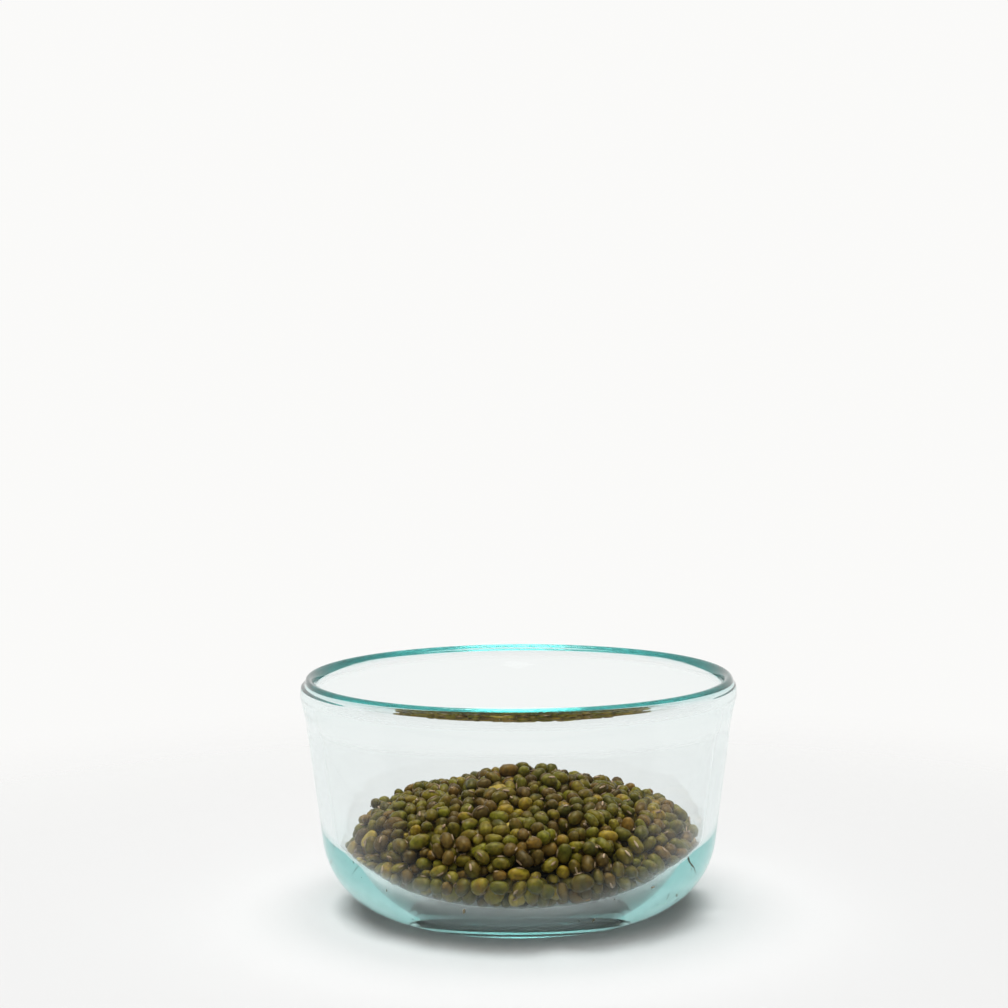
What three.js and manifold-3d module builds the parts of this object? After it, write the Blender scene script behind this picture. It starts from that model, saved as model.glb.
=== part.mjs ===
// A pressed-glass bowl with a heap of dry mung beans in it.
//
// Two solids: the bowl, turned from one closed profile, and the heap, which is a plain core
// with the beans that show fused on to it. Millimetres, +Z up. The origin is at the middle of
// the bowl's foot, on the table.

import * as THREE from "three";
import { mergeVertices } from "three/addons/utils/BufferGeometryUtils.js";
import Module from "manifold-3d";

const wasm = await Module();
wasm.setup();

// ---------------------------------------------------------------- driving dimensions

// The glass bowl
const HEIGHT = 67; // table to the top of the rim
const TAPER = THREE.MathUtils.degToRad(7.3); // lean of the straight wall
const FOOT_RADIUS = 34.1; // outer edge of the flat ring that the bowl stands on
const FOOT_WIDTH = 4.5; // width of that ring
const FOOT_HOLLOW = 0.7; // depth of the shallow hollow inside the ring
const CORNER_RADIUS = 22.6; // outside, from the foot up into the wall
const WALL = 3.8; // glass thickness of the straight wall
const FLOOR = 6; // glass thickness under the beans
const INNER_CORNER_RADIUS = 20.5;
const RIM_OUTER = 62.5; // outer radius of the thick oval bead that forms the rim
const RIM_INNER = 57.7; // inner radius of that bead
const RIM_MIDDLE = 62; // table to the bead's thickest place
const RIM_RUN_OUT = 1.6; // height over which the bead runs out into the wall below it
const BOWL_SEGMENTS = 48;
const CORNER_STEPS = 7;
const RIM_STEPS = 10;

// The heap of beans
const HEAP_PEAK = 40.3; // table to the mean surface at the middle of the heap
const HEAP_SLOPE = 0.3; // fall of its flank per millimetre outwards
const CROWN = 6; // how broadly its peak is rounded off
const SHOULDER_START = 43; // the flank steepens from this radius out to the glass
const HEAP_EDGE = 17; // table to where the beans meet the glass
const EDGE_LEAN = 4.2; // how much higher they meet it towards +X, and lower towards -X
const LEAN_START = 40; // radius from which the heap takes up that lean
const LUMP = 0.8; // height of its broad lumps
const HEAP_GAP = 0.3; // clearance between the beans and the glass
const CORE_INSET = 1.5; // how far the core lies inside the beans' outer face

// One mung bean
const BEAN_LENGTH = 5;
const BEAN_WIDTH = 3.7;
const SIZE_SPREAD = 0.1; // share by which a bean may be larger or smaller
const BEAN_SIDES = 5; // sides of its barrel shape
const BEAN_BANDS = 3;
const BEAN_COUNT = 288;
const LOWEST_BEANS = THREE.MathUtils.degToRad(-62); // they reach this far down the round corner
const SLIVER = 0.05; // edges shorter than this are closed up once the beans are joined
const CORE_SEGMENTS = 24;
const FLANK_STEPS = 6;
const SIDE_STEPS = 4;
const GOLDEN_ANGLE = Math.PI * (3 - Math.sqrt(5));

// ---------------------------------------------------------------- small helpers

// Draws the same even numbers from 0 to 1 on every run.
function seededRandom(seed) {
  let state = seed;
  return () => {
    state = (state * 1664525 + 1013904223) % 4294967296;
    return state / 4294967296;
  };
}

// Points on an arc in the profile's plane, from one angle to another, both ends included.
function arc(centreR, centreZ, radius, fromAngle, toAngle, steps) {
  return Array.from({ length: steps + 1 }, (_, i) => {
    const angle = fromAngle + ((toAngle - fromAngle) * i) / steps;
    return new THREE.Vector2(centreR + radius * Math.cos(angle), centreZ + radius * Math.sin(angle));
  });
}

// A closed three.js geometry as a solid that can be joined and cut.
function toSolid(geometry) {
  const bare = geometry.clone();
  bare.deleteAttribute("normal");
  bare.deleteAttribute("uv");
  const merged = mergeVertices(bare, 1e-4);
  return new wasm.Manifold(
    new wasm.Mesh({
      numProp: 3,
      vertProperties: new Float32Array(merged.attributes.position.array),
      triVerts: new Uint32Array(merged.index.array),
    }),
  );
}

function toGeometry(solid) {
  const mesh = solid.getMesh();
  const geometry = new THREE.BufferGeometry();
  geometry.setAttribute("position", new THREE.BufferAttribute(mesh.vertProperties, 3));
  geometry.setIndex(new THREE.BufferAttribute(mesh.triVerts, 1));
  geometry.computeVertexNormals();
  return geometry;
}

// Turns a profile of (radius, height) points about Z. The profile runs anticlockwise: out along
// the underside, up the outside, and back to the axis along the top.
function turned(profile, segments) {
  return new THREE.LatheGeometry(profile, segments).rotateX(Math.PI / 2);
}

// ---------------------------------------------------------------- the glass bowl

const outerWallStart = new THREE.Vector2(
  FOOT_RADIUS + CORNER_RADIUS * Math.cos(TAPER),
  CORNER_RADIUS * (1 - Math.sin(TAPER)),
);

// Radius of the outside of the straight wall at a height.
function outerWallRadius(z) {
  return outerWallStart.x + (z - outerWallStart.y) * Math.tan(TAPER);
}

// Radius of the inside of the straight wall at a height.
function innerWallRadius(z) {
  return outerWallRadius(z) - WALL / Math.cos(TAPER);
}

const innerCornerTop = FLOOR + INNER_CORNER_RADIUS * (1 - Math.sin(TAPER));
const innerFloorRadius = innerWallRadius(innerCornerTop) - INNER_CORNER_RADIUS * Math.cos(TAPER);

function bowlProfile() {
  const hollowRadius = FOOT_RADIUS - FOOT_WIDTH;
  const foot = [
    new THREE.Vector2(0, FOOT_HOLLOW),
    new THREE.Vector2(hollowRadius - 2 * FOOT_HOLLOW, FOOT_HOLLOW),
    new THREE.Vector2(hollowRadius, 0),
  ];
  const outerCorner = arc(FOOT_RADIUS, CORNER_RADIUS, CORNER_RADIUS, -Math.PI / 2, -TAPER, CORNER_STEPS);

  const wallTop = RIM_MIDDLE - RIM_RUN_OUT;
  const outerWall = new THREE.Vector2(outerWallRadius(wallTop), wallTop);
  const beadCentre = new THREE.Vector2((RIM_OUTER + RIM_INNER) / 2, RIM_MIDDLE);
  const beadSize = new THREE.Vector2((RIM_OUTER - RIM_INNER) / 2, HEIGHT - RIM_MIDDLE);
  const bead = arc(0, 0, 1, 0, Math.PI, RIM_STEPS).map((point) => point.multiply(beadSize).add(beadCentre));
  const innerWall = new THREE.Vector2(innerWallRadius(wallTop), wallTop);
  const innerCorner = arc(
    innerFloorRadius, FLOOR + INNER_CORNER_RADIUS, INNER_CORNER_RADIUS, -TAPER, -Math.PI / 2, CORNER_STEPS,
  );
  const middle = new THREE.Vector2(0, FLOOR);
  return [...foot, ...outerCorner, outerWall, ...bead, innerWall, ...innerCorner, middle];
}

// ---------------------------------------------------------------- the heap's outer face

// Radius of the glass's inner face at a height, from the floor up.
function cavityRadius(z) {
  if (z >= innerCornerTop) return innerWallRadius(z);
  const depth = FLOOR + INNER_CORNER_RADIUS - z;
  return innerFloorRadius + Math.sqrt(Math.max(0, INNER_CORNER_RADIUS ** 2 - depth ** 2));
}

// Mean height of the heap's top face at a radius.
function heapHeight(r) {
  const flank = (radius) => HEAP_PEAK - HEAP_SLOPE * (Math.hypot(radius, CROWN) - CROWN);
  const edge = cavityRadius(HEAP_EDGE);
  return flank(r) - (flank(edge) - HEAP_EDGE) * THREE.MathUtils.smoothstep(r, SHOULDER_START, edge);
}

// The heap's outline from its peak, down its flank, and down the glass's round corner to an angle.
// Each point is pulled back from the beans' outer face by an inset.
function heapOutline(inset, endAngle) {
  const sideRadius = INNER_CORNER_RADIUS - HEAP_GAP - inset;
  const arcCentreZ = FLOOR + INNER_CORNER_RADIUS;
  const startAngle = Math.asin((HEAP_EDGE - inset - arcCentreZ) / sideRadius);
  const side = arc(innerFloorRadius, arcCentreZ, sideRadius, startAngle, endAngle, SIDE_STEPS);
  const flank = Array.from({ length: FLANK_STEPS }, (_, i) => {
    const r = (side[0].x * i) / FLANK_STEPS;
    return new THREE.Vector2(r, heapHeight(r) - inset);
  });
  return [...flank, ...side];
}

// How far the heap's unevenness lifts a point: its edge leans and it has soft lumps, which fade
// out down the side.
function lift({ x, y, z }) {
  const r = Math.max(Math.hypot(x, y), 1e-6);
  const lean = EDGE_LEAN * (x / r) * THREE.MathUtils.smoothstep(r, LEAN_START, cavityRadius(HEAP_EDGE));
  const lumps = Math.sin(x / 7.5 + 1.1) * Math.cos(y / 8.5 - 0.6) + 0.6 * Math.sin((x + 1.7 * y) / 11);
  const fade = THREE.MathUtils.smoothstep(z, FLOOR, HEAP_EDGE - CORE_INSET);
  return (lean + (LUMP / 1.6) * lumps) * fade;
}

// How far a point lies past the clear space inside the glass, and the way out to the glass there.
function pastGlass(point) {
  const r = Math.hypot(point.x, point.y);
  const fromArc = new THREE.Vector2(r - innerFloorRadius, point.z - FLOOR - INNER_CORNER_RADIUS);
  let past = fromArc.length() - INNER_CORNER_RADIUS;
  let way = fromArc.normalize();
  if (point.z > innerCornerTop) {
    past = (r - innerWallRadius(point.z)) * Math.cos(TAPER);
    way = new THREE.Vector2(Math.cos(TAPER), -Math.sin(TAPER));
  } else if (r < innerFloorRadius) {
    past = FLOOR - point.z;
    way = new THREE.Vector2(0, -1);
  }
  const outwards = r > 0 ? way.x / r : 0;
  return { past: past + HEAP_GAP, way: new THREE.Vector3(outwards * point.x, outwards * point.y, way.y) };
}

// The core's closed mesh, uneven on top and flat underneath, kept clear of the glass.
function coreGeometry() {
  const bottom = FLOOR + HEAP_GAP;
  const underside = [new THREE.Vector2(0, bottom), new THREE.Vector2(innerFloorRadius - 1, bottom)];
  const outline = heapOutline(CORE_INSET, -Math.PI / 2).reverse();
  const geometry = turned([...underside, ...outline], CORE_SEGMENTS);
  const position = geometry.attributes.position;
  const point = new THREE.Vector3();
  for (let i = 0; i < position.count; i++) {
    point.fromBufferAttribute(position, i);
    point.z += lift(point);
    const { past, way } = pastGlass(point);
    point.addScaledVector(way, -Math.max(past, 0));
    position.setXYZ(i, point.x, point.y, point.z);
  }
  return geometry;
}

// ---------------------------------------------------------------- the beans that show

// A bean is a short barrel with blunt ends, its length along X.
function beanSolid(length, width) {
  const ringRadius = Math.sin(Math.PI / BEAN_BANDS);
  const sameArea = 1.1; // the five-sided ring is then about as large in section as the round bean
  return toSolid(
    new THREE.SphereGeometry(1, BEAN_SIDES, BEAN_BANDS)
      .scale((sameArea * width) / 2 / ringRadius, length / 2, (sameArea * width) / 2 / ringRadius)
      .rotateZ(Math.PI / 2),
  );
}

// Splits the outline into steps of equal area when turned, so that beans placed one to a step,
// each a golden angle on from the last, are spread evenly.
function evenPlaces(outline, count) {
  const areas = [0];
  for (let i = 1; i < outline.length; i++) {
    const length = outline[i].distanceTo(outline[i - 1]);
    areas.push(areas[i - 1] + (length * (outline[i].x + outline[i - 1].x)) / 2);
  }
  const total = areas[areas.length - 1];
  return Array.from({ length: count }, (_, n) => {
    const target = (total * (n + 0.5)) / count;
    const i = areas.findIndex((area) => area >= target);
    const t = (target - areas[i - 1]) / (areas[i] - areas[i - 1]);
    const along = outline[i].clone().sub(outline[i - 1]).normalize();
    return {
      point: outline[i - 1].clone().lerp(outline[i], t),
      normal: new THREE.Vector2(-along.y, along.x),
      angle: n * GOLDEN_ANGLE,
    };
  });
}

// Moves a bean in from the glass until no corner of it is too near.
function movedClear(bean) {
  let moved = bean;
  for (let pass = 0; pass < 4; pass++) {
    const xyz = moved.getMesh().vertProperties;
    const corners = Array.from({ length: xyz.length / 3 }, (_, i) =>
      pastGlass(new THREE.Vector3(xyz[3 * i], xyz[3 * i + 1], xyz[3 * i + 2])),
    );
    const worst = corners.reduce((a, b) => (b.past > a.past ? b : a));
    if (worst.past <= 0) break;
    moved = moved.translate(worst.way.multiplyScalar(-worst.past).toArray());
  }
  return moved;
}

function fusedBeans() {
  const random = seededRandom(7);
  const between = (low, high) => low + (high - low) * random();
  const up = new THREE.Vector3(0, 0, 1);
  const across = new THREE.Vector3(0, 1, 0);
  return evenPlaces(heapOutline(BEAN_WIDTH / 2, LOWEST_BEANS), BEAN_COUNT).map((place) => {
    const cos = Math.cos(place.angle);
    const sin = Math.sin(place.angle);
    const outwards = new THREE.Vector3(place.normal.x * cos, place.normal.x * sin, place.normal.y);
    const centre = new THREE.Vector3(place.point.x * cos, place.point.x * sin, place.point.y);
    centre.z += lift(centre);
    centre.addScaledVector(outwards, between(-0.4, 0.6));

    // It lies along the face, turned at random, with one end tipped up a little.
    const size = between(1 - SIZE_SPREAD, 1 + SIZE_SPREAD);
    const turn = new THREE.Quaternion()
      .setFromUnitVectors(up, outwards)
      .multiply(new THREE.Quaternion().setFromAxisAngle(up, between(0, Math.PI)))
      .multiply(new THREE.Quaternion().setFromAxisAngle(across, between(-0.3, 0.3)));
    const placed = new THREE.Matrix4().compose(centre, turn, new THREE.Vector3(1, 1, 1));
    return movedClear(beanSolid(BEAN_LENGTH * size, BEAN_WIDTH * size).transform(placed.elements));
  });
}

// The core and its beans as one solid. A hollow that fusing seals is filled by keeping the outer
// skin alone, and a loose scrap is dropped with it.
function heapGeometry() {
  let solid = toSolid(coreGeometry());
  for (const bean of fusedBeans()) solid = solid.add(bean);
  const bodies = solid.decompose().sort((a, b) => b.volume() - a.volume());
  return toGeometry(bodies[0].simplify(SLIVER));
}

// ---------------------------------------------------------------- the object

const glass = new THREE.MeshStandardMaterial({
  name: "aqua glass", color: 0xbfe3e2, roughness: 0.03, metalness: 0, transparent: true, opacity: 0.4,
});
const seedCoat = new THREE.MeshStandardMaterial({
  name: "mung bean seed coat", color: 0x6c6524, roughness: 0.5, metalness: 0,
});

const bowl = new THREE.Mesh(turned(bowlProfile(), BOWL_SEGMENTS), glass);
bowl.name = "bowl";

const beans = new THREE.Mesh(heapGeometry(), seedCoat);
beans.name = "mung_beans";

const bowlOfMungBeans = new THREE.Group();
bowlOfMungBeans.add(bowl, beans);

export default bowlOfMungBeans;
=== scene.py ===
import math

import bpy
import numpy as np
from mathutils import Matrix, Vector
from mathutils.kdtree import KDTree


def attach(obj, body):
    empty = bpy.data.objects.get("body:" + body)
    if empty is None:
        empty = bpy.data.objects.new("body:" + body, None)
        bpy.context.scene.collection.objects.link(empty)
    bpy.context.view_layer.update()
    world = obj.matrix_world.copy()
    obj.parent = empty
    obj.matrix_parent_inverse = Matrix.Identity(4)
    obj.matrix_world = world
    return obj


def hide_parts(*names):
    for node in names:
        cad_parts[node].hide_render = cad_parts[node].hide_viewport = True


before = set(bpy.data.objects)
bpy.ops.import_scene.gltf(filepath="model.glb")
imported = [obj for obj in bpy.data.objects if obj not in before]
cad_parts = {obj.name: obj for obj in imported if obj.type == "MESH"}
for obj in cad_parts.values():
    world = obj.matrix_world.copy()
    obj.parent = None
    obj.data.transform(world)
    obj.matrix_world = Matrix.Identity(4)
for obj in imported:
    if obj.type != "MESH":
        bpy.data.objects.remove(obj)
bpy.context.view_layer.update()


# ---------------------------------------------------------------- the camera
# A nearly level view from slightly above the bowl, through a short telephoto lens 0.6 m away, with
# the bowl a little right of the middle and the horizon turned by less than half a degree.

IMAGE_PX = 1008
FOCAL_PX = 2100
SENSOR_MM = 36
CAMERA_AT = Vector((-0.00375, -0.5986, 0.1595))
CAMERA_PITCH = math.radians(-4.17)
CAMERA_ROLL = math.radians(-0.4)
NEAREST_SEEN = 0.01

lens = bpy.data.cameras.new("camera")
lens.sensor_fit = "HORIZONTAL"
lens.sensor_width = SENSOR_MM
lens.lens = FOCAL_PX * SENSOR_MM / IMAGE_PX
lens.clip_start = NEAREST_SEEN
camera = bpy.data.objects.new("camera", lens)
level = Matrix.Rotation(math.radians(90) + CAMERA_PITCH, 4, "X")
camera.matrix_world = Matrix.Translation(CAMERA_AT) @ level @ Matrix.Rotation(CAMERA_ROLL, 4, "Z")
bpy.context.collection.objects.link(camera)
bpy.context.scene.camera = camera


# ---------------------------------------------------------------- the glass bowl
# A pressed bowl of clear soda-lime glass, which looks blue-green where it is thick. It is one
# turned wall: a foot ring, a broad round corner, a leaning wall and a thick oval bead for a rim,
# with the mould's faint step round the outside of the bead, deepest towards -X.

MM = 0.001
HEIGHT = 67 * MM
TAPER = math.radians(7.3)
FOOT_RADIUS = 34.1 * MM
FOOT_WIDTH = 4.5 * MM
FOOT_HOLLOW = 0.7 * MM
FOOT_EASE = 2 * MM
CORNER_RADIUS = 22.6 * MM
WALL = 3.8 * MM
FLOOR = 6 * MM
INNER_CORNER_RADIUS = 20.5 * MM
RIM_OUTER = 62.5 * MM
RIM_INNER = 57.7 * MM
RIM_MIDDLE = 62 * MM
RIM_UNDER = 56 * MM
RIM_RUN_OUT = 6 * MM
RIM_PAST_MIDDLE = 0.1
RIM_STEPS = 44
SEAM_HEIGHT = 64.4 * MM
SEAM_RISE = 0.5 * MM
SEAM_STEP = 0.26 * MM
SEAM_FADE = 1.5 * MM
SEAM_STEPS = 18
LEFT_STEP = 0.6 * MM
LEFT_SPREAD = 0.62
BOWL_SEGMENTS = 320
CORNER_STEPS = 56
WALL_STEPS = 12
FLOOR_STEPS = 6
FOOT_STEPS = 3
GLASS_IOR = 1.49
GLASS_CLEAR = (0.978, 0.98, 0.98, 1)
GLASS_CREST_PAINTED_TEAL = (0.45, 0.8, 0.8, 1)
GLASS_MIRROR = (0.3, 0.3, 0.3, 1)
GLASS_DEPTH_TINT = (0.3, 0.72, 0.705, 1)
GLASS_DEPTH_DENSITY = 14
GLASS_HAZE = 0.006
GLASS_WAVES = 18
GLASS_WAVE_STRENGTH = 0.004
LAMPLIGHT_STRAIGHT = 0.96
LAMPLIGHT_ASLANT = 0.6
LAMPLIGHT_AT_FOOT = 0.25
FOOT_SHADE = (0.5 * MM, 12 * MM)

wall_start_r = FOOT_RADIUS + CORNER_RADIUS * math.cos(TAPER)
wall_start_z = CORNER_RADIUS * (1 - math.sin(TAPER))


def outer_wall(z):
    """Radius of the straight wall's outer face at a height."""
    return wall_start_r + (z - wall_start_z) * math.tan(TAPER)


def inner_wall(z):
    """Radius of the straight wall's inner face at a height."""
    return outer_wall(z) - WALL / math.cos(TAPER)


arc_z = FLOOR + INNER_CORNER_RADIUS
corner_top = arc_z - INNER_CORNER_RADIUS * math.sin(TAPER)
floor_radius = inner_wall(corner_top) - INNER_CORNER_RADIUS * math.cos(TAPER)


def oval(centre, radius_r, radius_z, start, end, steps):
    """Points of an oval arc in the (radius, height) plane, both ends included."""
    turn = np.linspace(start, end, steps + 1)
    return np.stack([centre[0] + radius_r * np.cos(turn), centre[1] + radius_z * np.sin(turn)], 1)


def straight(start, end, steps):
    """Points between two ends, both left out."""
    share = np.linspace(0, 1, steps + 2)[1:-1, None]
    return np.array(start) * (1 - share) + np.array(end) * share


def rounded(points, passes):
    """An open line with its corners cut a few times, so that it runs smoothly."""
    points = np.array(points)
    for _ in range(passes):
        near = points[:-1] * 0.75 + points[1:] * 0.25
        far = points[:-1] * 0.25 + points[1:] * 0.75
        cut = np.stack([near, far], 1).reshape(-1, 2)
        points = np.vstack([points[:1], cut, points[-1:]])
    return points


def seam_share(z):
    """How much of the mould's step is there at a height: none below it, less near the crest."""
    rise = np.clip((z - SEAM_HEIGHT) / SEAM_RISE, 0, 1)
    return rise * rise * (3 - 2 * rise) * np.clip((HEIGHT - z) / SEAM_FADE, 0, 1)


def rim_outline():
    """The oval bead: smoothly out of the wall's outer face, over the top and into the inner one."""
    low = RIM_UNDER - RIM_RUN_OUT
    middle = ((RIM_OUTER + RIM_INNER) / 2, RIM_MIDDLE)
    half_width = (RIM_OUTER - RIM_INNER) / 2
    half_height = HEIGHT - RIM_MIDDLE
    bead_end = math.pi + RIM_PAST_MIDDLE
    bead = oval(middle, half_width, half_height, -RIM_PAST_MIDDLE, bead_end, RIM_STEPS)
    outer = rounded([(outer_wall(low), low), (outer_wall(RIM_UNDER), RIM_UNDER), bead[0]], 3)
    inner = rounded([bead[-1], (inner_wall(RIM_UNDER), RIM_UNDER), (inner_wall(low), low)], 3)
    crest = bead[:, 1].argmax()
    steps = np.linspace(SEAM_HEIGHT - SEAM_RISE, SEAM_HEIGHT + 2 * SEAM_RISE, SEAM_STEPS + 1)
    heights = np.unique(np.concatenate([steps, bead[:crest + 1, 1]]))
    outside = np.stack([np.interp(heights, bead[:crest + 1, 1], bead[:crest + 1, 0]), heights], 1)
    outside[:, 0] -= SEAM_STEP * seam_share(heights)
    return np.vstack([outer[:-1], outside, bead[crest + 1:], inner[1:]])


def bowl_profile():
    """The wall's closed outline, from the middle of the underside out, up and back in."""
    hollow = FOOT_RADIUS - FOOT_WIDTH
    hollow_edge = [
        (0, FOOT_HOLLOW),
        (hollow / 2, FOOT_HOLLOW),
        (hollow - FOOT_EASE, FOOT_HOLLOW),
        (hollow, 0),
        (hollow + FOOT_EASE / 2, 0),
    ]
    underside = rounded(hollow_edge, 2)
    ring = straight(underside[-1], (FOOT_RADIUS, 0), FOOT_STEPS)
    middle = (FOOT_RADIUS, CORNER_RADIUS)
    corner = oval(middle, CORNER_RADIUS, CORNER_RADIUS, -math.pi / 2, -TAPER, CORNER_STEPS)
    bead = rim_outline()
    middle = (floor_radius, arc_z)
    radius = INNER_CORNER_RADIUS
    inner_corner = oval(middle, radius, radius, -TAPER, -math.pi / 2, CORNER_STEPS)
    wall = straight(corner[-1], bead[0], WALL_STEPS)
    inner = straight(bead[-1], inner_corner[0], WALL_STEPS)
    floor = straight(inner_corner[-1], (0, FLOOR), FLOOR_STEPS)
    parts = [underside, ring, corner, wall, bead, inner, inner_corner, floor, [(0, FLOOR)]]
    return np.vstack(parts)


def turned(name, profile, segments):
    """A closed mesh turned about Z from a profile whose two ends are on the axis."""
    rings = np.array(profile[1:-1])
    turn = np.arange(segments) * 2 * math.pi / segments
    x = rings[:, :1] * np.cos(turn)
    y = rings[:, :1] * np.sin(turn)
    z = np.repeat(rings[:, 1:], segments, axis=1)
    corners = np.stack([x, y, z], 2).reshape(-1, 3)
    count = len(corners)
    corners = np.vstack([corners, [(0, 0, profile[0][1]), (0, 0, profile[-1][1])]])
    here = np.arange(segments)
    after = (here + 1) % segments
    faces = []
    for ring in range(len(rings) - 1):
        low = ring * segments
        high = low + segments
        faces += np.stack([low + here, low + after, high + after, high + here], 1).tolist()
    last = (len(rings) - 1) * segments
    faces += np.stack([here * 0 + count, after, here], 1).tolist()
    faces += np.stack([here * 0 + count + 1, last + here, last + after], 1).tolist()
    mesh = bpy.data.meshes.new(name)
    mesh.from_pydata(corners.tolist(), [], faces)
    mesh.polygons.foreach_set("use_smooth", [True] * len(mesh.polygons))
    piece = bpy.data.objects.new(name, mesh)
    bpy.context.collection.objects.link(piece)
    return piece


def deepen_seam(piece):
    """Sets the bead in further above the mould's seam towards -X, where the step is deepest."""
    bead_outside = inner_wall(HEIGHT) + WALL / 3
    for vertex in piece.data.vertices:
        r = max(math.hypot(vertex.co.x, vertex.co.y), MM)
        if vertex.co.z > SEAM_HEIGHT and r > bead_outside:
            side = min(max((-vertex.co.x / r - LEFT_SPREAD) / (1 - LEFT_SPREAD), 0), 1)
            step = LEFT_STEP * side * side * (3 - 2 * side) * float(seam_share(vertex.co.z))
            vertex.co.x *= 1 - step / r
            vertex.co.y *= 1 - step / r


def clear_glass():
    """Clear glass, blue-green by its thickness and painted blue-green at its crest for light led
    along the bead, that lets lamplight through.
    """
    material = bpy.data.materials.new("clear glass")
    material.use_nodes = True
    nodes, links = material.node_tree.nodes, material.node_tree.links
    glass = nodes["Principled BSDF"]
    glass.inputs["Transmission Weight"].default_value = 1
    glass.inputs["IOR"].default_value = GLASS_IOR
    glass.inputs["Specular Tint"].default_value = GLASS_MIRROR
    place = nodes.new("ShaderNodeTexCoord")
    height = nodes.new("ShaderNodeSeparateXYZ")
    links.new(place.outputs["Object"], height.inputs["Vector"])
    # The crest is painted blue-green, standing in for the tint of light led round and along the
    # bead.
    crest = nodes.new("ShaderNodeMapRange")
    crest.inputs["From Min"].default_value = SEAM_HEIGHT
    crest.inputs["From Max"].default_value = HEIGHT
    links.new(height.outputs["Z"], crest.inputs["Value"])
    tint = nodes.new("ShaderNodeMix")
    tint.data_type = "RGBA"
    tint.inputs["A"].default_value = GLASS_CLEAR
    tint.inputs["B"].default_value = GLASS_CREST_PAINTED_TEAL
    links.new(crest.outputs["Result"], tint.inputs["Factor"])
    links.new(tint.outputs["Result"], glass.inputs["Base Color"])
    waves = nodes.new("ShaderNodeTexNoise")
    waves.inputs["Scale"].default_value = GLASS_WAVES
    waves.inputs["Detail"].default_value = 1
    links.new(place.outputs["Object"], waves.inputs["Vector"])
    bump = nodes.new("ShaderNodeBump")
    bump.inputs["Strength"].default_value = GLASS_WAVE_STRENGTH
    bump.inputs["Distance"].default_value = MM
    links.new(waves.outputs["Fac"], bump.inputs["Height"])
    links.new(bump.outputs["Normal"], glass.inputs["Normal"])
    haze = nodes.new("ShaderNodeMapRange")
    haze.inputs["To Min"].default_value = 0
    haze.inputs["To Max"].default_value = GLASS_HAZE
    links.new(waves.outputs["Fac"], haze.inputs["Value"])
    links.new(haze.outputs["Result"], glass.inputs["Roughness"])
    depth = nodes.new("ShaderNodeVolumeAbsorption")
    depth.inputs["Color"].default_value = GLASS_DEPTH_TINT
    depth.inputs["Density"].default_value = GLASS_DEPTH_DENSITY
    out = nodes["Material Output"]
    links.new(depth.outputs["Volume"], out.inputs["Volume"])
    ray = nodes.new("ShaderNodeLightPath")
    through = nodes.new("ShaderNodeBsdfTransparent")
    slant = nodes.new("ShaderNodeLayerWeight")
    dimmed = nodes.new("ShaderNodeMapRange")
    dimmed.inputs["To Min"].default_value = LAMPLIGHT_STRAIGHT
    dimmed.inputs["To Max"].default_value = LAMPLIGHT_ASLANT
    links.new(slant.outputs["Facing"], dimmed.inputs["Value"])
    foot = nodes.new("ShaderNodeMapRange")
    foot.inputs["From Min"].default_value = FOOT_SHADE[0]
    foot.inputs["From Max"].default_value = FOOT_SHADE[1]
    foot.inputs["To Min"].default_value = LAMPLIGHT_AT_FOOT
    links.new(height.outputs["Z"], foot.inputs["Value"])
    share = nodes.new("ShaderNodeMath")
    share.operation = "MULTIPLY"
    links.new(dimmed.outputs["Result"], share.inputs[0])
    links.new(foot.outputs["Result"], share.inputs[1])
    links.new(share.outputs["Value"], through.inputs["Color"])
    mix = nodes.new("ShaderNodeMixShader")
    links.new(ray.outputs["Is Shadow Ray"], mix.inputs["Fac"])
    links.new(glass.outputs["BSDF"], mix.inputs[1])
    links.new(through.outputs["BSDF"], mix.inputs[2])
    links.new(mix.outputs["Shader"], out.inputs["Surface"])
    return material


glass_bowl = turned("glass_bowl", bowl_profile(), BOWL_SEGMENTS)
deepen_seam(glass_bowl)
glass_bowl.data.materials.append(clear_glass())
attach(glass_bowl, "root")
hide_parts("bowl")


# ---------------------------------------------------------------- where the beans lie
# Dry beans poured into the bowl. Each is settled as two balls on a short rod, pushed apart from
# its neighbours, in from the glass and down under the heap's uneven top, until all have room.

HEAP_PEAK = 40.3 * MM
HEAP_SLOPE = 0.3
CROWN = 6 * MM
SHOULDER_START = 43 * MM
HEAP_EDGE = 19 * MM
HEAP_LEAN = 0.01
SHOULDER_DROP = 9.5 * MM
DROP_LEAN = 0.09
LUMP = 0.8 * MM
BEAN_PITCH = 3.65 * MM
BEAN_JITTER = 0.4
SCATTER_REACH = 54 * MM
SCATTER_TOP = 46 * MM
SCATTER_EDGE = 0.6
BALL = 1.72 * MM
ROD = 1.2 * MM
ROD_RANGE = (0.45, 1.8)
SIZE_SPREAD = 0.11
SIZE_RANGE = (0.76, 1.32)
GLASS_GAP = 0.08 * MM
PROUD = 0.9 * MM
SETTLE_PASSES = 320
FREE_PASSES = 25
PAIRS_EVERY = 10
PAIRS_REACH = 1.25
PUSH_SHARE = 0.55
LID_STEP = 0.3 * MM
LOOSE_DEPTH = 2.4 * MM
MISSING = 0.15
SHELL = 8.4 * MM
HEAP_SEED = 11

random = np.random.default_rng(HEAP_SEED)


def smoothstep(value, low, high):
    """A smooth rise from 0 to 1 between two values."""
    share = np.clip((value - low) / (high - low), 0, 1)
    return share * share * (3 - 2 * share)


def cavity_radius(z):
    """Radius of the glass's inner face at a height in its round corner."""
    return floor_radius + math.sqrt(INNER_CORNER_RADIUS**2 - (arc_z - z) ** 2)


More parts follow.
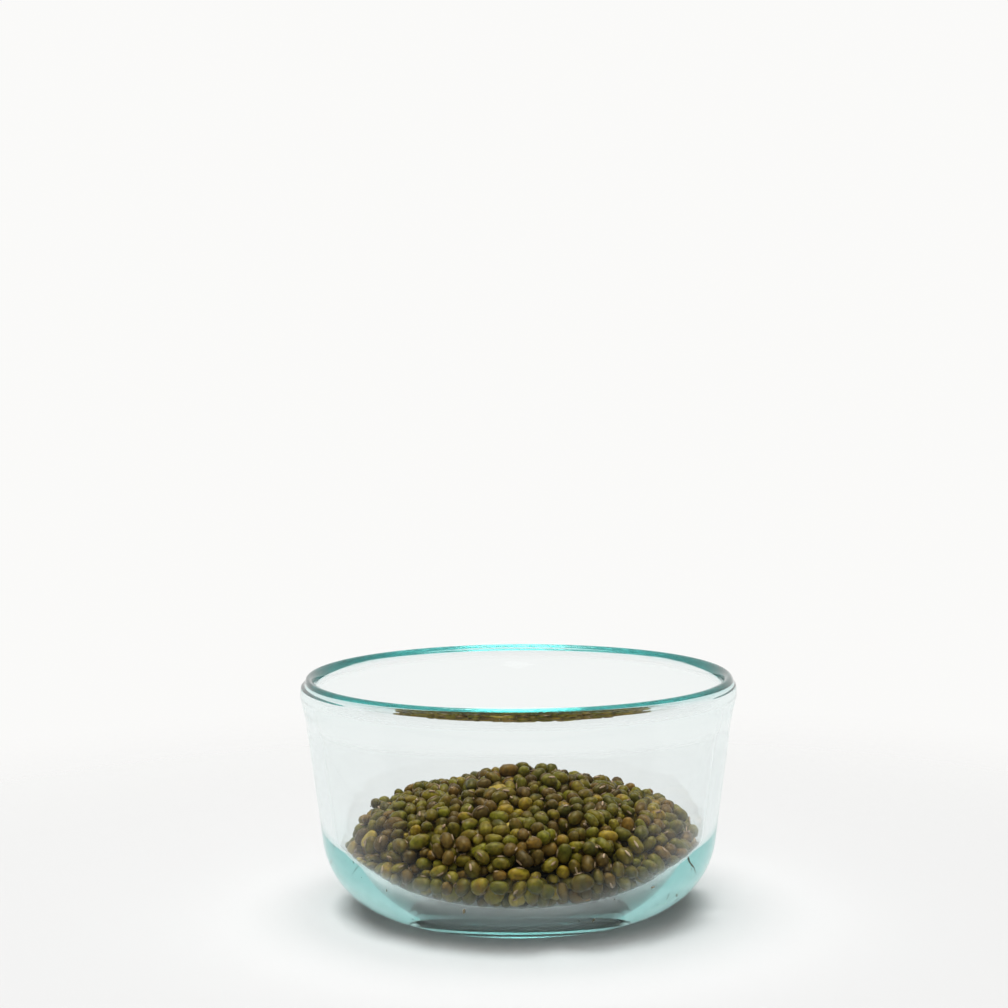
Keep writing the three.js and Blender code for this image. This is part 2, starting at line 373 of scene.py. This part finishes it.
def heap_top(x, y):
    """Height of the heap's top face: a low dome with a shoulder, broad lumps and bean-wide pits."""
    r = np.hypot(x, y)
    flank = HEAP_PEAK - HEAP_SLOPE * (np.hypot(r, CROWN) - CROWN)
    drop = SHOULDER_DROP - DROP_LEAN * x
    dome = flank - drop * smoothstep(r, SHOULDER_START, cavity_radius(HEAP_EDGE))
    u, v = x / MM, y / MM
    lumps = np.sin(u / 7.5 + 1.1) * np.cos(v / 8.5 - 0.6) + 0.6 * np.sin((u + 1.7 * v) / 11)
    pits = np.sin(u / 1.1 + 2 * np.sin(v / 2.3)) * np.sin(v / 1.3 + 1.7 * np.sin(u / 2.9))
    return dome + HEAP_LEAN * x + LUMP / 1.6 * lumps + LUMP * pits


def off_glass(points):
    """How far points are from the glass's inner face, and the way in from it."""
    r = np.maximum(np.hypot(points[:, 0], points[:, 1]), 1e-9)
    arm = np.stack([r - floor_radius, points[:, 2] - arc_z], 1)
    length = np.linalg.norm(arm, axis=1)
    gap = INNER_CORNER_RADIUS - length
    way = -arm / length[:, None]
    high = points[:, 2] > corner_top
    wall_r = wall_start_r + (points[:, 2] - wall_start_z) * math.tan(TAPER) - WALL / math.cos(TAPER)
    gap = np.where(high, (wall_r - r) * math.cos(TAPER), gap)
    way[high] = (-math.cos(TAPER), math.sin(TAPER))
    flat = ~high & (r < floor_radius)
    gap = np.where(flat, points[:, 2] - FLOOR, gap)
    way[flat] = (0, 1)
    return gap, np.stack([way[:, 0] * points[:, 0] / r, way[:, 0] * points[:, 1] / r, way[:, 1]], 1)


def scattered_beans():
    """First places for the beans' centres, on a jittered grid, and random ways they point."""
    reach = np.arange(-SCATTER_REACH, SCATTER_REACH, BEAN_PITCH)
    level = np.arange(FLOOR, SCATTER_TOP, BEAN_PITCH)
    grid = np.stack(np.meshgrid(reach, reach, level), 3).reshape(-1, 3)
    grid = grid + random.uniform(-BEAN_JITTER, BEAN_JITTER, grid.shape) * BEAN_PITCH
    gap, _ = off_glass(grid)
    under_top = grid[:, 2] < heap_top(grid[:, 0], grid[:, 1]) - SCATTER_EDGE * BALL
    inside = (gap > SCATTER_EDGE * BALL) & under_top
    ways = random.normal(size=(inside.sum(), 3))
    return grid[inside], ways / np.linalg.norm(ways, axis=1)[:, None]


def near_pairs(balls, reach):
    """Pairs of balls near enough to touch soon, other than the two balls of one bean."""
    tree = KDTree(len(balls))
    for i, ball in enumerate(balls):
        tree.insert(ball, i)
    tree.balance()
    pairs = []
    for i, ball in enumerate(balls):
        pairs += [(i, j) for _, j, _ in tree.find_range(ball, reach) if j > i]
    pairs = np.array(pairs)
    return pairs[pairs[:, 0] % BEAN_COUNT != pairs[:, 1] % BEAN_COUNT]


def settled(balls, radius, rod, lid):
    """Moves the balls until they no longer overlap one another, the glass or the heap's top."""
    for step in range(SETTLE_PASSES):
        if step % PAIRS_EVERY == 0:
            pairs = near_pairs(balls, 2 * BALL * PAIRS_REACH)
        a, b = pairs.T
        apart = balls[a] - balls[b]
        length = np.maximum(np.linalg.norm(apart, axis=1), 1e-7)
        overlap = np.maximum(radius[a] + radius[b] - length, 0)
        push = apart * (0.5 * overlap / length)[:, None]
        shift = np.zeros_like(balls)
        for axis in range(3):
            shift[:, axis] = np.bincount(a, push[:, axis], len(balls))
            shift[:, axis] -= np.bincount(b, push[:, axis], len(balls))
        balls = balls + PUSH_SHARE * shift
        one, two = balls[:BEAN_COUNT], balls[BEAN_COUNT:]
        middle, way = (one + two) / 2, two - one
        way = way / np.linalg.norm(way, axis=1)[:, None] * rod[:, None] / 2
        balls = np.vstack([middle - way, middle + way])
        gap, inwards = off_glass(balls)
        balls = balls + inwards * np.maximum(radius + GLASS_GAP - gap, 0)[:, None]
        if step < SETTLE_PASSES - FREE_PASSES:
            over = balls[:, 2] + radius - heap_top(balls[:, 0], balls[:, 1]) - lid
            balls[:, 2] -= np.clip(over, 0, LID_STEP)
    return balls


centres, ways = scattered_beans()
BEAN_COUNT = len(centres)
size = np.clip(random.normal(1, SIZE_SPREAD, BEAN_COUNT), *SIZE_RANGE)
rods = ROD * random.uniform(*ROD_RANGE, BEAN_COUNT)
radii = np.tile(BALL * size, 2)
ends = np.vstack([centres - ways * rods[:, None] / 2, centres + ways * rods[:, None] / 2])
lids = np.tile(random.uniform(-PROUD, PROUD, BEAN_COUNT), 2)
ends = settled(ends, radii, rods, lids)
centres = (ends[:BEAN_COUNT] + ends[BEAN_COUNT:]) / 2
ways = ends[BEAN_COUNT:] - ends[:BEAN_COUNT]
ways = ways / np.linalg.norm(ways, axis=1)[:, None]
top_gap = heap_top(centres[:, 0], centres[:, 1]) - centres[:, 2]
depth_in_heap = np.minimum(off_glass(centres)[0], top_gap)
missing = (top_gap < LOOSE_DEPTH) & (random.uniform(0, 1, BEAN_COUNT) < MISSING)
shown = (depth_in_heap < SHELL) & ~missing


# ---------------------------------------------------------------- the beans
# Whole dry mung beans, which are short blunt barrels with a thin seed coat and the pale slit of an
# eye, and a few split halves that show the germ. Each form is made once and set on its settled
# places, and then each bean gets its own small dents and bends.

LENGTH = 2 * BALL + ROD
COAT = 1.03
EYE_LENGTH = 2.0 * MM
EYE_WIDTH = 0.7 * MM
EYE_HEIGHT = 0.16 * MM
DENT = 0.42 * MM
DENT_SIZE = 2.6 * MM
DENT_SEED = 3.0
FLATNESS_RANGE = (0.94, 1.06)
BEAN_RINGS = 8
BEAN_SIDES = 10
EYE_RINGS = 4
EYE_SIDES = 6
COAT_MIRROR = 0.24
COAT_MIRROR_TINT = (1, 0.85, 0.45, 1)
COAT_CLOUDS = 330
COAT_MOTTLE = 900
COAT_RELIEF = 0.3
ROUGHNESS = 0.36
ROUGHNESS_RANGE = 0.1
EYE_MOTTLE = 500
EYE_ROUGHNESS = 0.6
EYE_DARK = (0.20, 0.11, 0.05, 1)
EYE_PALE = (0.66, 0.47, 0.30, 1)


def lobed(name, rings, sides, scale, blunt=2.0, bend=0.0, squash=0.0):
    """A closed blunt oval, its poles along X, bowed towards -Z and pressed in at +Z."""
    corners = [(-1, 0, 0)]
    for ring in range(1, rings):
        t = -math.cos(math.pi * ring / rings)
        r = (1 - abs(t) ** blunt) ** (1 / blunt)
        for side in range(sides):
            angle = 2 * math.pi * (side + 0.5 * (ring % 2)) / sides
            corners.append((t, r * math.cos(angle), r * math.sin(angle)))
    corners.append((1, 0, 0))
    faces = []
    last = 1 + (rings - 2) * sides
    for side in range(sides):
        after = (side + 1) % sides
        faces.append((0, 1 + after, 1 + side))
        faces.append((len(corners) - 1, last + side, last + after))
        for ring in range(rings - 2):
            low = 1 + ring * sides
            high = low + sides
            if ring % 2 == 0:
                faces.append((low + side, low + after, high + side))
                faces.append((low + after, high + after, high + side))
            else:
                faces.append((low + side, low + after, high + after))
                faces.append((low + side, high + after, high + side))
    placed = []
    for x, y, z in corners:
        z = z * (1 - squash * max(z, 0)) - bend * x * x
        placed.append((x * scale[0], y * scale[1], z * scale[2]))
    mesh = bpy.data.meshes.new(name)
    mesh.from_pydata(placed, [], faces)
    mesh.polygons.foreach_set("use_smooth", [True] * len(mesh.polygons))
    return bpy.data.objects.new(name, mesh)


def scatter_tree():
    """Sets a form and an eye on every point, by its turn and size, and dents each a little."""
    tree = bpy.data.node_groups.new("Set beans", "GeometryNodeTree")
    tree.interface.new_socket("Geometry", in_out="OUTPUT", socket_type="NodeSocketGeometry")
    for name, kind in (
        ("Places", "Geometry"),
        ("Forms", "Collection"),
        ("Eye form", "Object"),
        ("Seed coat", "Material"),
        ("Eye", "Material"),
        ("Dent", "Float"),
        ("Dent size", "Float"),
        ("Seed", "Float"),
    ):
        tree.interface.new_socket(name, in_out="INPUT", socket_type="NodeSocket" + kind)
    nodes, links = tree.nodes, tree.links
    given = nodes.new("NodeGroupInput")
    result = nodes.new("NodeGroupOutput")
    join = nodes.new("GeometryNodeJoinGeometry")
    own = {}
    for name, kind in (("turn", "QUATERNION"), ("size", "FLOAT_VECTOR"), ("form", "INT")):
        own[name] = nodes.new("GeometryNodeInputNamedAttribute")
        own[name].data_type = kind
        own[name].inputs["Name"].default_value = name
    pitch = nodes.new("ShaderNodeMath")
    pitch.operation = "DIVIDE"
    pitch.inputs[0].default_value = 1
    links.new(given.outputs["Dent size"], pitch.inputs[1])
    noise = nodes.new("ShaderNodeTexNoise")
    noise.noise_dimensions = "4D"
    noise.inputs["Detail"].default_value = 1
    links.new(pitch.outputs["Value"], noise.inputs["Scale"])
    links.new(given.outputs["Seed"], noise.inputs["W"])
    centred = nodes.new("ShaderNodeVectorMath")
    centred.operation = "SUBTRACT"
    centred.inputs[1].default_value = (0.5, 0.5, 0.5)
    links.new(noise.outputs["Color"], centred.inputs[0])
    dent = nodes.new("ShaderNodeVectorMath")
    dent.operation = "SCALE"
    links.new(centred.outputs["Vector"], dent.inputs[0])
    links.new(given.outputs["Dent"], dent.inputs["Scale"])
    forms = nodes.new("GeometryNodeCollectionInfo")
    forms.inputs["Separate Children"].default_value = True
    links.new(given.outputs["Forms"], forms.inputs["Collection"])
    eye = nodes.new("GeometryNodeObjectInfo")
    links.new(given.outputs["Eye form"], eye.inputs["Object"])
    shapes = {"Seed coat": forms.outputs["Instances"], "Eye": eye.outputs["Geometry"]}
    for material, shape in shapes.items():
        place = nodes.new("GeometryNodeInstanceOnPoints")
        links.new(given.outputs["Places"], place.inputs["Points"])
        links.new(shape, place.inputs["Instance"])
        if material == "Seed coat":
            place.inputs["Pick Instance"].default_value = True
            links.new(own["form"].outputs["Attribute"], place.inputs["Instance Index"])
        links.new(own["turn"].outputs["Attribute"], place.inputs["Rotation"])
        links.new(own["size"].outputs["Attribute"], place.inputs["Scale"])
        real = nodes.new("GeometryNodeRealizeInstances")
        links.new(place.outputs["Instances"], real.inputs["Geometry"])
        move = nodes.new("GeometryNodeSetPosition")
        links.new(real.outputs["Geometry"], move.inputs["Geometry"])
        links.new(dent.outputs["Vector"], move.inputs["Offset"])
        finish = nodes.new("GeometryNodeSetMaterial")
        links.new(move.outputs["Geometry"], finish.inputs["Geometry"])
        links.new(given.outputs[material], finish.inputs["Material"])
        links.new(finish.outputs["Geometry"], join.inputs["Geometry"])
    links.new(join.outputs["Geometry"], result.inputs["Geometry"])
    return tree


def mottling():
    """A node group: the fine mottle of a dry seed's skin, as a tone and as a relief."""
    group = bpy.data.node_groups.new("mottling", "ShaderNodeTree")
    group.interface.new_socket("Tone", in_out="OUTPUT", socket_type="NodeSocketFloat")
    group.interface.new_socket("Relief", in_out="OUTPUT", socket_type="NodeSocketFloat")
    group.interface.new_socket("Place", in_out="INPUT", socket_type="NodeSocketVector")
    for name in ("Fineness", "Dark", "Pale"):
        group.interface.new_socket(name, in_out="INPUT", socket_type="NodeSocketFloat")
    nodes, links = group.nodes, group.links
    given = nodes.new("NodeGroupInput")
    result = nodes.new("NodeGroupOutput")
    spots = nodes.new("ShaderNodeTexNoise")
    spots.inputs["Detail"].default_value = 4
    links.new(given.outputs["Place"], spots.inputs["Vector"])
    links.new(given.outputs["Fineness"], spots.inputs["Scale"])
    tone = nodes.new("ShaderNodeMapRange")
    tone.inputs["From Min"].default_value = 0.3
    tone.inputs["From Max"].default_value = 0.7
    links.new(spots.outputs["Fac"], tone.inputs["Value"])
    links.new(given.outputs["Dark"], tone.inputs["To Min"])
    links.new(given.outputs["Pale"], tone.inputs["To Max"])
    links.new(tone.outputs["Result"], result.inputs["Tone"])
    links.new(spots.outputs["Fac"], result.inputs["Relief"])
    return group


MOTTLING = mottling()


def seed_coat(name, colours, patch, roughness):
    """A dry seed coat: each bean has its own colour from the row, with patches of another one."""
    material = bpy.data.materials.new(name)
    material.use_nodes = True
    nodes, links = material.node_tree.nodes, material.node_tree.links
    coat = nodes["Principled BSDF"]
    coat.inputs["Specular IOR Level"].default_value = COAT_MIRROR
    coat.inputs["Specular Tint"].default_value = COAT_MIRROR_TINT
    tint = nodes.new("ShaderNodeAttribute")
    tint.attribute_name = "tint"
    ramp = nodes.new("ShaderNodeValToRGB")
    while len(ramp.color_ramp.elements) < len(colours):
        ramp.color_ramp.elements.new(0.5)
    for k, colour in enumerate(colours):
        ramp.color_ramp.elements[k].position = k / (len(colours) - 1)
        ramp.color_ramp.elements[k].color = (*colour, 1)
    links.new(tint.outputs["Fac"], ramp.inputs["Fac"])
    place = nodes.new("ShaderNodeTexCoord")
    clouds = nodes.new("ShaderNodeTexNoise")
    clouds.inputs["Scale"].default_value = COAT_CLOUDS
    clouds.inputs["Detail"].default_value = 2
    links.new(place.outputs["Object"], clouds.inputs["Vector"])
    cover = nodes.new("ShaderNodeMapRange")
    cover.inputs["From Min"].default_value = 0.42
    cover.inputs["From Max"].default_value = 0.72
    links.new(clouds.outputs["Fac"], cover.inputs["Value"])
    patched = nodes.new("ShaderNodeMix")
    patched.data_type = "RGBA"
    links.new(cover.outputs["Result"], patched.inputs["Factor"])
    links.new(ramp.outputs["Color"], patched.inputs["A"])
    patched.inputs["B"].default_value = (*patch, 1)
    mottle = nodes.new("ShaderNodeGroup")
    mottle.node_tree = MOTTLING
    mottle.inputs["Fineness"].default_value = COAT_MOTTLE
    mottle.inputs["Dark"].default_value = 0.5
    mottle.inputs["Pale"].default_value = 1.22
    links.new(place.outputs["Object"], mottle.inputs["Place"])
    colour = nodes.new("ShaderNodeVectorMath")
    colour.operation = "SCALE"
    links.new(patched.outputs["Result"], colour.inputs[0])
    links.new(mottle.outputs["Tone"], colour.inputs["Scale"])
    links.new(colour.outputs["Vector"], coat.inputs["Base Color"])
    rough = nodes.new("ShaderNodeMapRange")
    rough.inputs["To Min"].default_value = roughness - ROUGHNESS_RANGE
    rough.inputs["To Max"].default_value = roughness + ROUGHNESS_RANGE
    links.new(mottle.outputs["Relief"], rough.inputs["Value"])
    links.new(rough.outputs["Result"], coat.inputs["Roughness"])
    bump = nodes.new("ShaderNodeBump")
    bump.inputs["Strength"].default_value = COAT_RELIEF
    bump.inputs["Distance"].default_value = COAT_RELIEF * MM
    links.new(mottle.outputs["Relief"], bump.inputs["Height"])
    links.new(bump.outputs["Normal"], coat.inputs["Normal"])
    return material


def bean_eye():
    """The dry, pale, slightly fibrous skin of the slit where the bean hung in its pod."""
    material = bpy.data.materials.new("bean eye")
    material.use_nodes = True
    nodes, links = material.node_tree.nodes, material.node_tree.links
    eye = nodes["Principled BSDF"]
    place = nodes.new("ShaderNodeTexCoord")
    mottle = nodes.new("ShaderNodeGroup")
    mottle.node_tree = MOTTLING
    mottle.inputs["Fineness"].default_value = EYE_MOTTLE
    mottle.inputs["Dark"].default_value = 0
    mottle.inputs["Pale"].default_value = 1
    links.new(place.outputs["Object"], mottle.inputs["Place"])
    ramp = nodes.new("ShaderNodeValToRGB")
    ramp.color_ramp.elements[0].color = EYE_DARK
    ramp.color_ramp.elements[1].color = EYE_PALE
    links.new(mottle.outputs["Tone"], ramp.inputs["Fac"])
    links.new(ramp.outputs["Color"], eye.inputs["Base Color"])
    eye.inputs["Roughness"].default_value = EYE_ROUGHNESS
    return material


def turns(ways, spins):
    """Quaternions (w, x, y, z) that lay X along each way and then spin about it."""
    found = []
    for way, spin in zip(ways, spins):
        own_spin = Matrix.Rotation(spin, 3, "X").to_quaternion()
        found.append(Vector(way).to_track_quat("X", "Z") @ own_spin)
    return np.array(found)


def socket_id(tree, name):
    """The identifier by which a modifier knows a tree's input."""
    return next(item.identifier for item in tree.interface.items_tree if item.name == name)


def lay_beans(name, chosen, forms, mark, coat, mark_skin):
    """One piece: every chosen bean as real mesh, with its eye or germ."""
    places = bpy.data.meshes.new(name + "_places")
    places.from_pydata(centres[chosen].tolist(), [], [])
    thick = size[chosen]
    long = (2 * BALL * thick + rods[chosen]) / LENGTH
    scale = np.stack([long, thick * flatness[chosen], thick / flatness[chosen]], 1)
    quats = turns(ways[chosen], spins[chosen])
    places.attributes.new("turn", "QUATERNION", "POINT").data.foreach_set("value", quats.ravel())
    places.attributes.new("size", "FLOAT_VECTOR", "POINT").data.foreach_set("vector", scale.ravel())
    places.attributes.new("tint", "FLOAT", "POINT").data.foreach_set("value", tints[chosen])
    places.attributes.new("form", "INT", "POINT").data.foreach_set("value", form_numbers[chosen])
    holder = bpy.data.objects.new(name + "_places", places)
    bpy.context.collection.objects.link(holder)
    modifier = holder.modifiers.new("Set beans", "NODES")
    modifier.node_group = BEAN_TREE
    settings = {
        "Forms": forms,
        "Eye form": mark,
        "Seed coat": coat,
        "Eye": mark_skin,
        "Dent": DENT,
        "Dent size": DENT_SIZE,
        "Seed": DENT_SEED,
    }
    for socket, value in settings.items():
        modifier[socket_id(BEAN_TREE, socket)] = value
    evaluated = holder.evaluated_get(bpy.context.evaluated_depsgraph_get())
    mesh = bpy.data.meshes.new_from_object(evaluated)
    mesh.name = name
    piece = bpy.data.objects.new(name, mesh)
    bpy.context.collection.objects.link(piece)
    bpy.data.objects.remove(holder)
    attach(piece, "root")
    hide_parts("mung_beans")


BEAN_TREE = scatter_tree()
tints = random.uniform(0, 1, BEAN_COUNT)
spins = random.uniform(0, 2 * math.pi, BEAN_COUNT)
kinds = random.uniform(0, 1, BEAN_COUNT)
flatness = random.uniform(*FLATNESS_RANGE, BEAN_COUNT)
form_numbers = random.integers(0, 3, BEAN_COUNT)

FORMS = {
    "bean_form_barrel": {"blunt": 2.5},
    "bean_form_bent": {"blunt": 2.25, "bend": 0.22, "squash": 0.12},
    "bean_form_oval": {"blunt": 2.1, "bend": 0.08},
}
half_sizes = (LENGTH / 2, BALL * COAT, BALL * COAT)
bean_forms = bpy.data.collections.new("bean forms")
for name, shape in FORMS.items():
    bean_forms.objects.link(lobed(name, BEAN_RINGS, BEAN_SIDES, scale=half_sizes, **shape))
eye_sizes = (EYE_LENGTH / 2, EYE_WIDTH / 2, EYE_HEIGHT)
eye_form = lobed("eye_form", EYE_RINGS, EYE_SIDES, scale=eye_sizes)
eye_form.data.transform(Matrix.Translation((0, 0, BALL * COAT - 0.3 * EYE_HEIGHT)))

SPLIT_AT = np.array((-6.8, -11.1)) * MM
SPLIT_SIZE = 1.3
SPLIT_WAY = (0.9, 0.1, 0.3)
SPLIT_SPIN = 0.8
GERM_SIZES = (0.8 * MM, 0.3 * MM, 0.2 * MM)
GERM_AT = (0.6 * MM, 0, 0.3 * BALL)
split_half = lobed("split_half", BEAN_RINGS, BEAN_SIDES, scale=half_sizes, blunt=2.2, squash=0.85)
split_forms = bpy.data.collections.new("split forms")
split_forms.objects.link(split_half)
germ_form = lobed("germ_form", EYE_RINGS, EYE_SIDES, scale=GERM_SIZES)
germ_form.data.transform(Matrix.Translation(GERM_AT))
aside = np.linalg.norm(centres[:, :2] - SPLIT_AT, axis=1)
split = int(np.argmin(aside + 3 * np.abs(top_gap - BALL) + ~shown))
kinds[split] = 1
size[split] = SPLIT_SIZE
ways[split] = SPLIT_WAY
spins[split] = SPLIT_SPIN
KINDS = {
    "green_beans": (0.0, 0.36, (0.060, 0.057, 0.006), (0.130, 0.120, 0.008), (0.23, 0.210, 0.012)),
    "olive_beans": (0.36, 0.68, (0.065, 0.052, 0.006), (0.145, 0.115, 0.008), (0.25, 0.195, 0.013)),
    "brown_beans": (0.68, 0.90, (0.050, 0.031, 0.009), (0.125, 0.068, 0.012), (0.22, 0.115, 0.016)),
    "yellow_beans": (0.90, 0.988, (0.22, 0.185, 0.016), (0.30, 0.225, 0.017), (0.36, 0.235, 0.018)),
    "split_beans": (0.988, 1.01, (0.42, 0.30, 0.045), (0.52, 0.38, 0.06), (0.60, 0.46, 0.10)),
}
PATCHES = {
    "green_beans": (0.17, 0.12, 0.012),
    "olive_beans": (0.15, 0.085, 0.012),
    "brown_beans": (0.11, 0.07, 0.012),
    "yellow_beans": (0.26, 0.14, 0.015),
    "split_beans": (0.45, 0.30, 0.06),
}
eye_skin = bean_eye()
for name, (low, high, *colours) in KINDS.items():
    chosen = np.flatnonzero(shown & (kinds >= low) & (kinds < high))
    coat = seed_coat(name.replace("_", " ") + " coat", colours, PATCHES[name], ROUGHNESS)
    forms, mark = (split_forms, germ_form) if name == "split_beans" else (bean_forms, eye_form)
    lay_beans(name, chosen, forms, mark, coat, eye_skin)


# ---------------------------------------------------------------- the heap's core
# What fills the heap behind the beans that show: the same beans, packed too deep to be seen, as
# one lump painted near black, the shade deep in the heap.

CORE_DEPTH = 7.4 * MM
CORE_RINGS = 14
CORE_SEGMENTS = 64
CORE_SIDE_STEPS = 10
CORE_SIDE_TOP = -0.75
# Near-black colours: painted shade of the beans deep in the heap, not the beans' own colour.
CORE_SHADE_COLOURS = ((0.02, 0.018, 0.008), (0.03, 0.025, 0.01))
CORE_SHADE_PATCH = (0.01, 0.01, 0.005)
CORE_ROUGHNESS = 0.8


def heap_mean(r):
    """Mean height of the heap's top at a distance from the axis."""
    turn = np.linspace(0, 2 * math.pi, 90)
    return heap_top(r * np.cos(turn), r * np.sin(turn)).mean()


def core_profile():
    """The core's outline: the heap's mean top and the glass's round corner, both moved in."""
    radius = np.linspace(0, cavity_radius(HEAP_EDGE) - CORE_DEPTH, CORE_RINGS)
    top = [(r, float(heap_mean(r)) - CORE_DEPTH) for r in radius]
    middle = (floor_radius, arc_z)
    reach = INNER_CORNER_RADIUS - CORE_DEPTH
    side = oval(middle, reach, reach, CORE_SIDE_TOP, -math.pi / 2, CORE_SIDE_STEPS)
    return np.vstack([[(0, side[-1][1])], side[::-1], top[::-1]])


heap_core = turned("heap_core", core_profile(), CORE_SEGMENTS)
# The core's coat is painted shade: near black where the heap is too deep for light to reach.
deep_shade_coat = seed_coat("deep beans painted shade", CORE_SHADE_COLOURS, CORE_SHADE_PATCH, CORE_ROUGHNESS)
heap_core.data.materials.append(deep_shade_coat)
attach(heap_core, "root")
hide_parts("mung_beans")


# ---------------------------------------------------------------- the floor and the light
# A plain white sweep that fades into a bright, even surround, with a strong soft box above and
# slightly behind and a weak one in front. The sweep's front is dark in a single mirror reflection,
# which keeps a pale veil off the front glass, and the surround is dimmer as light.

FLOOR_REACH = 1.6
FLOOR_SIDES = 64
FLOOR_LEVEL = -0.0001
FLOOR_WHITE = (0.9, 0.9, 0.895, 1)
FLOOR_DARK = (0.03, 0.03, 0.03, 1)
FADE_START = 0.09
FADE_END = 0.35
FRONT_EDGE = -0.058
FRONT_BLEND = 0.02
LAMP_AIM = (0, 0, 0.03)
LAMP_SIZE = 0.6
SURROUND_COLOUR = (1, 0.997, 0.985, 1)
floor_mesh = bpy.data.meshes.new("floor")
edge = []
for angle in np.linspace(0, 2 * math.pi, FLOOR_SIDES + 1)[:-1]:
    edge.append((FLOOR_REACH * math.cos(angle), FLOOR_REACH * math.sin(angle), FLOOR_LEVEL))
floor_mesh.from_pydata(edge, [], [list(range(FLOOR_SIDES))])
floor = bpy.data.objects.new("floor", floor_mesh)
bpy.context.collection.objects.link(floor)


def white_sweep():
    """Matt white near the bowl, dark at the front in one mirror reflection, clear further out."""
    material = bpy.data.materials.new("white sweep")
    material.use_nodes = True
    nodes, links = material.node_tree.nodes, material.node_tree.links
    paint = nodes["Principled BSDF"]
    paint.inputs["Roughness"].default_value = 0.9
    paint.inputs["Specular IOR Level"].default_value = 0.2
    place = nodes.new("ShaderNodeTexCoord")
    parts = nodes.new("ShaderNodeSeparateXYZ")
    links.new(place.outputs["Object"], parts.inputs["Vector"])
    front = nodes.new("ShaderNodeMapRange")
    front.inputs["From Min"].default_value = FRONT_EDGE
    front.inputs["From Max"].default_value = FRONT_EDGE - FRONT_BLEND
    links.new(parts.outputs["Y"], front.inputs["Value"])
    ray = nodes.new("ShaderNodeLightPath")
    once = nodes.new("ShaderNodeMath")
    once.operation = "COMPARE"
    once.inputs[1].default_value = 1
    once.inputs[2].default_value = 0.5
    links.new(ray.outputs["Glossy Depth"], once.inputs[0])
    mirrored = nodes.new("ShaderNodeMath")
    mirrored.operation = "MULTIPLY"
    links.new(front.outputs["Result"], mirrored.inputs[0])
    links.new(once.outputs["Value"], mirrored.inputs[1])
    tone = nodes.new("ShaderNodeMix")
    tone.data_type = "RGBA"
    tone.inputs["A"].default_value = FLOOR_WHITE
    tone.inputs["B"].default_value = FLOOR_DARK
    links.new(mirrored.outputs["Value"], tone.inputs["Factor"])
    links.new(tone.outputs["Result"], paint.inputs["Base Color"])
    far = nodes.new("ShaderNodeVectorMath")
    far.operation = "LENGTH"
    links.new(place.outputs["Object"], far.inputs[0])
    fade = nodes.new("ShaderNodeMapRange")
    fade.interpolation_type = "SMOOTHSTEP"
    fade.inputs["From Min"].default_value = FADE_START
    fade.inputs["From Max"].default_value = FADE_END
    links.new(far.outputs["Value"], fade.inputs["Value"])
    clear = nodes.new("ShaderNodeBsdfTransparent")
    mix = nodes.new("ShaderNodeMixShader")
    links.new(fade.outputs["Result"], mix.inputs["Fac"])
    links.new(paint.outputs["BSDF"], mix.inputs[1])
    links.new(clear.outputs["BSDF"], mix.inputs[2])
    links.new(mix.outputs["Shader"], nodes["Material Output"].inputs["Surface"])
    return material


floor_mesh.materials.append(white_sweep())


def soft_box(name, at, power, mirrored):
    """A round soft box aimed at the bowl, which mirror reflections show or don't."""
    light = bpy.data.lights.new(name, "AREA")
    light.shape = "DISK"
    light.size = LAMP_SIZE
    light.energy = power
    lamp = bpy.data.objects.new(name, light)
    lamp.location = at
    lamp.rotation_euler = (Vector(LAMP_AIM) - Vector(at)).to_track_quat("-Z", "Y").to_euler()
    lamp.visible_glossy = mirrored
    bpy.context.collection.objects.link(lamp)


soft_box("top_box", at=(-0.03, 0.1, 1.0), power=8.7, mirrored=True)
soft_box("front_box", at=(0, -0.9, 0.9), power=2.8, mirrored=False)


def studio(seen, lit):
    """A surround with one brightness to the eye and through glass, and a lower one as light."""
    world = bpy.data.worlds.new("studio")
    world.use_nodes = True
    nodes, links = world.node_tree.nodes, world.node_tree.links
    ray = nodes.new("ShaderNodeLightPath")
    as_light = nodes.new("ShaderNodeMix")
    as_light.inputs["A"].default_value = seen
    as_light.inputs["B"].default_value = lit
    links.new(ray.outputs["Diffuse Depth"], as_light.inputs["Factor"])
    links.new(as_light.outputs["Result"], nodes["Background"].inputs["Strength"])
    nodes["Background"].inputs["Color"].default_value = SURROUND_COLOUR
    return world


bpy.context.scene.world = studio(seen=0.96, lit=0.1)
bpy.context.scene.view_settings.view_transform = "Standard"
cycles = bpy.context.scene.cycles
cycles.max_bounces = 128
cycles.glossy_bounces = 128
cycles.transmission_bounces = 64
cycles.transparent_max_bounces = 16
